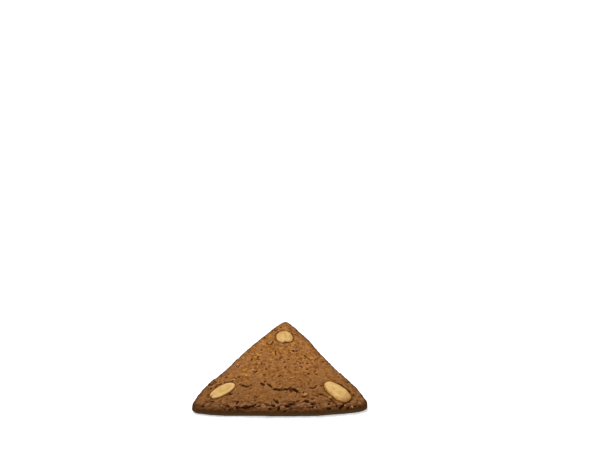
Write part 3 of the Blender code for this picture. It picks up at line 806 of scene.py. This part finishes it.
# The cut sides and edges are darker: browned, and partly painted shade.
colour = crust.blend(colour, SIDE, crust.value("side") * (crust.grain(2.2 * MM, 2.0, 0.15) * 0.6 + 0.6))
# Painted highlight on the lumps of the front rim.
rim_highlight_share = crust.value("rim") - foot * 3.0 - hollow * 1.2 - crust.value("side") * 0.7
colour = crust.blend(colour, RIM_HIGHLIGHT, rim_highlight_share.step(0.5, 1.6) * 0.65)
# The lower faces are darker towards the bottom, browned and partly painted shade, with a grey painted shadow
# along the very foot.
colour = crust.blend(colour, FACE, foot.step(0.1, 0.6) * (crust.grain(2.6 * MM, 1.0, 0.45) * 1.1 + 0.2))
colour = crust.blend(colour, FOOT, foot.step(0.6, 1.0) * 0.8)
# Painted shade in the crease round each almond, darker in spots.
colour = crust.blend(colour, CREASE, crust.value("crease").step(0.2, 0.8) * 0.9)
crease_shade_spots = crust.grain(3 * MM, 1.0, 0.35).step(0.48, 0.6) * (crust.value("baked") * 0.8 + 0.2)
colour = crust.blend(colour, DEEP, crust.value("crease") * crease_shade_spots)
# Painted shade in cracks, pits, hollows and crags, darker on the sides and at the foot.
in_hollows = crust.blend(SHADE, SIDE_HOLLOW_SHADE, crust.value("side") + foot * 0.5)
colour = crust.blend(colour, in_hollows, crust.value("crack").step(0.04, 0.6) * 0.85)
colour = crust.blend(colour, DEEP, crust.value("crack").step(0.6, DEEPEST_SHADE))
crust.feed(crust.shader.inputs["Base Color"], colour)
crust.feed(crust.shader.inputs["Roughness"], 0.66 + crust.grain(1.5 * MM, 1.0, 0.7) * 0.3)
crumb = crust.grain(0.45 * MM, 4.0, 0.1) * 0.7 + crust.grain(0.16 * MM, 2.0, 0.9) * 0.3
crust.feed(crust.shader.inputs["Normal"], crust.bump(crumb, 0.12 * MM))
dough.data.materials.clear()
dough.data.materials.append(crust.material)

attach(dough, "root")
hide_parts("biscuit")


# --- Nut crumbs -------------------------------------------------------------------------------------------
# Chopped almond that was worked into the dough. Where a crumb reached the crust it shows as a pale angular
# chip, more than half sunk, and toasted between cream and orange.

CHIPS_THAT_SHOW = (
    # X and Y of the middle and half the length, in millimetres
    (-14.2, 18.9, 1.9), (-19.8, 14.7, 1.2), (-8.9, 29.0, 1.1), (7.7, 17.2, 1.3), (14.1, 22.4, 1.3),
    (14.6, 10.9, 1.4), (21.8, 1.3, 1.4), (25.4, 4.4, 1.2), (28.5, 0.7, 1.5), (-19.3, -12.4, 1.6),
    (-16.2, -11.0, 1.1), (-20.7, -14.5, 1.4), (-23.3, -18.3, 1.9), (-30.4, -5.3, 1.3), (-31.2, -22.9, 1.4),
    (13.4, -10.1, 1.0), (7.5, -21.0, 1.4), (4.5, -17.0, 1.2), (-9.3, -20.9, 1.1), (16.9, -38.7, 1.8),
    (7.0, -39.3, 1.3), (-31.4, -39.9, 1.2), (-20.8, -39.8, 1.3), (33.4, -40.6, 1.3), (-2.6, -47.2, 1.1),
    (46.8, -49.6, 1.3), (41.8, -51.1, 1.1), (-9.7, 23.0, 1.0), (-5.2, 19.6, 0.9), (25.5, -12.0, 0.9),
)
CRUMBS = 75  # more places that are tried, of which those in a dip stay bare
CRUMB_DIP = 0.3
CRUMB_MARGIN = 1.5 * MM
CRUMB_HALF_LENGTH = (0.4 * MM, 0.95 * MM)
CRUMB_BREADTH = (0.55, 0.85)  # as a share of its length,
CRUMB_HEIGHT = (0.45, 0.6)  # and its height too
CRUMB_CUTS = 7
CRUMB_CUT_DEPTH = (0.55, 0.85)  # how far from its middle a flat side is cut, as a share of its radius
CRUMB_SUNK = 0.1  # how far its middle lies under the crust, as a share of its half thickness
CRUMB_CORNERS = math.radians(35)  # edges that turn by more than this are shaded sharp
FINE_CRUMB = 0.7 * MM  # the half length under which a crumb has fewer faces

crumb_mesh = bmesh.new()
toast_layer = crumb_mesh.verts.layers.float.new("toast")
bare_layer = crumb_mesh.verts.layers.float.new("bare")
crust_tree = kdtree.KDTree(count)
for index, (x, y, _) in enumerate(points):
    if top[index] == 1.0:
        crust_tree.insert((x, y, 0.0), index)
crust_tree.balance()


def any_direction():
    while True:
        direction = Vector(draw.uniform(-1.0, 1.0) for _ in range(3))
        if 0.1 < direction.length < 1.0:
            return direction.normalized()


def add_crumb(index, half_length):
    """A ball with sides cut flat, pressed, turned at random and sunk in the crust at one of its points."""
    rounds = 2 if half_length < FINE_CRUMB else 3
    made = bmesh.ops.create_icosphere(crumb_mesh, subdivisions=rounds, radius=1.0)["verts"]
    for _ in range(CRUMB_CUTS):
        side = any_direction()
        depth = draw.uniform(*CRUMB_CUT_DEPTH)
        for vertex in made:
            vertex.co -= side * max(0.0, vertex.co.dot(side) - depth)
    breadth = draw.uniform(*CRUMB_BREADTH)
    height = draw.uniform(*CRUMB_HEIGHT)
    normal = Vector(crust_out[index])
    turn = Matrix.Rotation(draw.uniform(0.0, math.tau), 3, "Z")
    turn = normal.to_track_quat("Z", "Y").to_matrix() @ turn
    middle = Vector(points[index]) - normal * half_length * height * CRUMB_SUNK
    toast = draw.random()
    for vertex in made:
        x, y, z = vertex.co
        vertex.co = middle + turn @ (Vector((x, y * breadth, z * height)) * half_length)
        vertex[toast_layer] = toast
        vertex[bare_layer] = z


for x, y, half_length in CHIPS_THAT_SHOW:
    add_crumb(crust_tree.find((x * MM, y * MM, 0.0))[1], half_length * MM)
for _ in range(CRUMBS):
    spot = on_crust(CRUMB_MARGIN)
    if broad[spot] < CRUMB_DIP:
        add_crumb(spot, draw.uniform(*CRUMB_HALF_LENGTH))
crumbs = new_piece("nut_crumbs", crumb_mesh)
crumbs.data.shade_smooth()
crumbs.data.set_sharp_from_angle(angle=CRUMB_CORNERS)

CREAM = tone(198, 146, 86)
TAN = tone(188, 131, 68)
ORANGE = tone(182, 116, 48)

nut = Finish("chopped nut", {"Specular IOR Level": 0.3})
colour = nut.blend(CREAM, TAN, nut.value("toast").step(0.0, 0.5))
colour = nut.blend(colour, ORANGE, nut.value("toast").step(0.5, 1.0))
colour = nut.blend(colour, BROWN, nut.grain(0.6 * MM, 2.0, 0.3).step(0.45, 0.62) * 0.7)
colour = nut.blend(BROWN, colour, (nut.value("bare") + nut.grain(0.9 * MM, 2.0, 0.6) - 0.5).step(0.1, 0.6))
nut.feed(nut.shader.inputs["Base Color"], colour)
nut.feed(nut.shader.inputs["Roughness"], 0.5 + nut.grain(0.5 * MM) * 0.3)
nut.feed(nut.shader.inputs["Normal"], nut.bump(nut.grain(0.2 * MM, 3.0), 0.05 * MM))
crumbs.data.materials.append(nut.material)

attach(crumbs, "root")


# --- Half almonds -----------------------------------------------------------------------------------------
# Blanched almonds, split along their seam and pressed into the dough. The left one shows its flat cut face
# with a pale rim, the other two their domed backs, on which fine ridges run from tip to tip. They are oily,
# pale gold, and browned at their ends; their flanks, which lie in shade, are painted lighter and warmer.

ALMOND_GRID = 0.16 * MM
ALMOND_SOFTENING = 10
ALMOND_PARED = 0.25 * MM  # before the ridges are added, its middle lies this far under the solid's upper face
HEADINGS = {"almond_left": 44, "almond_right": -51, "almond_top": 100}  # of the blunt end, in degrees
UPPER_FACING = (0.0, 0.4)  # how far up the face looks where the ridges begin, and where they are full
FLANK_FACING = (0.1, 0.6)  # the same for where the flank's painted light is full, and where it ends
FINE_RIDGES = (0.55 * MM, 3)  # width and seed
BROAD_RIDGES = (1.5 * MM, 9)
RIDGE_STRETCH = 0.13  # a length along the almond counts this much, which draws the ridges out
RIDGE_FAN = 1.05  # the nearer to 1, the closer together the ridges come at the tips
CUT_RIDGE_HEIGHTS = (0.05 * MM, 0.08 * MM)  # of the fine and the broad ridges on a cut face,
DOME_RIDGE_HEIGHTS = (0.2 * MM, 0.28 * MM)  # and on a domed back
CUT_RIM = (0.62, 0.88)  # shares of the way out at which a cut face's rim begins and is at its full height
CUT_RIM_HEIGHT = 0.22 * MM


def along_and_across(points, heading):
    """Where each point lies along the almond, to 1 at its blunt end, and across it, and its half sizes."""
    turn = math.radians(heading)
    along = points[:, 0] * math.cos(turn) + points[:, 1] * math.sin(turn)
    across = points[:, 1] * math.cos(turn) - points[:, 0] * math.sin(turn)
    half_length = (along.max() - along.min()) / 2
    half_width = (across.max() - across.min()) / 2
    along -= (along.max() + along.min()) / 2
    across -= (across.max() + across.min()) / 2
    return along / half_length, across / half_width, half_length, half_width


def ridges(along, across, half_length, half_width, width, place):
    """Noise drawn out into lines that meet at the almond's two tips."""
    fanned = across / np.sqrt(RIDGE_FAN - np.clip(along**2, 0.0, 1.0))
    level = np.zeros(len(along))
    drawn_out = np.column_stack([along * half_length * RIDGE_STRETCH, fanned * half_width, level])
    return waves(drawn_out, width, place)


# Where the pointed end is broken: how far beside its middle, half the nick's width, and how far it goes in.
NICKS = {"almond_left": (0.3 * MM, 0.4 * MM, 1.5 * MM), "almond_top": (0.6 * MM, 0.8 * MM, 0.6 * MM)}
NICKED_END = (-0.5, -0.9)  # a nick begins at the first place along the almond and is full at the second


def almond_relief(name, along, across, half_length, half_width):
    """Height of an almond's upper face over its smooth form, how pale it is there, and how browned."""
    fine_ridges = ridges(along, across, half_length, half_width, *FINE_RIDGES)
    broad_ridges = ridges(along, across, half_length, half_width, *BROAD_RIDGES)
    if name == "almond_left":
        rim = smoothstep(*CUT_RIM, np.sqrt(along**2 + across**2))
        fine_height, broad_height = CUT_RIDGE_HEIGHTS
        height = CUT_RIM_HEIGHT * rim + fine_height * fine_ridges + broad_height * broad_ridges
        return height, rim * 0.8 + 0.4 * fine_ridges, smoothstep(0.75, 1.0, -along) * 0.4
    fine_height, broad_height = DOME_RIDGE_HEIGHTS
    height = fine_height * fine_ridges + broad_height * broad_ridges
    pale = 0.3 + 1.1 * fine_ridges + 0.7 * broad_ridges + 0.35 * smoothstep(0.3, -1.0, along)
    return height, pale, smoothstep(0.3, 1.0, along) * 0.8


def nick(name, along, across, half_length, half_width):
    """How far each point of an almond lies back from its broken end, from 0 to 1, and the same in metres."""
    if name not in NICKS:
        return np.zeros(len(along)), np.zeros(len(along))
    beside, reach, depth = NICKS[name]
    away = (across * half_width - beside) / reach
    share = np.clip(1.0 - away**2, 0.0, 1.0) * smoothstep(*NICKED_END, along)
    return share, share * depth


GOLD = tone(194, 146, 66)
PALE = tone(224, 178, 117)
BROWNED = tone(176, 126, 62)
GREENISH = tone(208, 177, 98)
SKIN = tone(140, 88, 30)
FLANK_LIGHT = tone(206, 142, 56)

kernel = Finish("toasted almond", {"Specular IOR Level": 0.35})
colour = kernel.blend(GOLD, PALE, kernel.value("pale") + (kernel.grain(2.5 * MM, 2.0) - 0.5) * 0.9)
colour = kernel.blend(colour, GREENISH, kernel.grain(4 * MM, 1.0, 0.3).step(0.45, 0.65) * 0.7)
browning = kernel.value("toast") + (kernel.grain(1.6 * MM, 3.0, 0.5) - 0.45) * 1.2
colour = kernel.blend(colour, BROWNED, browning)
colour = kernel.blend(colour, SKIN, kernel.grain(0.9 * MM, 2.0, 0.8).step(0.68, 0.78) * 0.5)
# Painted light on the flanks, which lie in shade.
colour = kernel.blend(colour, FLANK_LIGHT, kernel.value("flank") * 0.8)
kernel.feed(kernel.shader.inputs["Base Color"], colour)
kernel.feed(kernel.shader.inputs["Roughness"], 0.42 + kernel.grain(1.2 * MM) * 0.25)
kernel.feed(kernel.shader.inputs["Normal"], kernel.bump(kernel.grain(0.25 * MM, 3.0), 0.04 * MM))

for name in ALMONDS:
    almond = new_piece(f"half_{name}", welded(name))
    regrid(almond, ALMOND_GRID)
    web = Web(almond.data)
    move_points(almond.data, web.smoothed(points_of(almond.data), ALMOND_SOFTENING))
    smooth = points_of(almond.data)
    outward = normals_of(almond.data)
    upper = smoothstep(*UPPER_FACING, outward[:, 2])
    shape = along_and_across(smooth, HEADINGS[name])
    height, pale, toast = almond_relief(name, *shape)
    nicked, back = nick(name, *shape)
    middle = 1.0 - np.clip(shape[0] ** 2 + shape[1] ** 2, 0.0, 1.0)
    swelling = ALMOND_SWELL * (1.0 - middle) + (height - ALMOND_PARED * middle) * upper
    carved = smooth + outward * swelling[:, None]
    turn = math.radians(HEADINGS[name])
    carved[:, 0] += back * math.cos(turn)
    carved[:, 1] += back * math.sin(turn)
    move_points(almond.data, held_within(carved, cad_low, cad_high))
    almond.data.shade_smooth()
    keep_values(
        almond.data,
        pale=np.clip(pale, 0.0, 1.0),
        toast=np.maximum(toast, nicked * 0.6),
        # the flank carries painted light
        flank=1.0 - smoothstep(*FLANK_FACING, outward[:, 2]),
    )
    almond.data.materials.clear()
    almond.data.materials.append(kernel.material)
    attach(almond, "root")
    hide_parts(name)


# --- Table, light and camera ------------------------------------------------------------------------------
# The biscuit lies on a white table under one large soft light from above and a little behind, as it does in
# the photograph, and the camera looks down on it from the front.

TABLE_SIZE = 8.0
TABLE_GAP = 0.02 * MM
bpy.ops.mesh.primitive_plane_add(size=TABLE_SIZE, location=(0.0, 0.0, -TABLE_GAP))
table = bpy.context.active_object
table.name = "table"
paper = Finish(
    "white paper",
    {
        "Base Color": (0.75, 0.75, 0.75, 1.0),
        "Roughness": 0.9,
        "Specular IOR Level": 0.1,
        "Emission Color": (1.0, 1.0, 1.0, 1.0),
        "Emission Strength": 0.5,
    },
)
table.data.materials.append(paper.material)
table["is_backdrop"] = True

sun = bpy.data.lights.new("soft overhead light", "SUN")
sun.energy = 2.9
sun.angle = math.radians(45)
lamp = bpy.data.objects.new("soft overhead light", sun)
lamp.rotation_euler = Vector((0.25, -0.42, -1.0)).to_track_quat("-Z", "Y").to_euler()
bpy.context.scene.collection.objects.link(lamp)

SKY_STRENGTH = 0.35
world = bpy.data.worlds.new("white room")
world.use_nodes = True
room = Mixture(world.node_tree)
background = room.nodes["Background"]
background.inputs["Color"].default_value = (1.0, 1.0, 1.0, 1.0)
seen_itself = room.node("ShaderNodeLightPath", output="Is Camera Ray")
room.feed(background.inputs["Strength"], SKY_STRENGTH + seen_itself * (1.0 - SKY_STRENGTH))
bpy.context.scene.world = world
bpy.context.scene.view_settings.view_transform = "Standard"

lens = bpy.data.cameras.new("camera")
lens.lens = 45.0
lens.sensor_width = 36.0
lens.clip_start = 0.01
camera = bpy.data.objects.new("camera", lens)
camera.location = (0.01326, -0.44106, 0.32123)
camera.rotation_euler = (math.radians(64.82), 0.0, 0.0)
bpy.context.scene.collection.objects.link(camera)
bpy.context.scene.camera = camera

seen_low, seen_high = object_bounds()
sizes = {
    "cad": [list(cad_low), list(cad_high)],
    "visual": [list(seen_low), list(seen_high)],
}
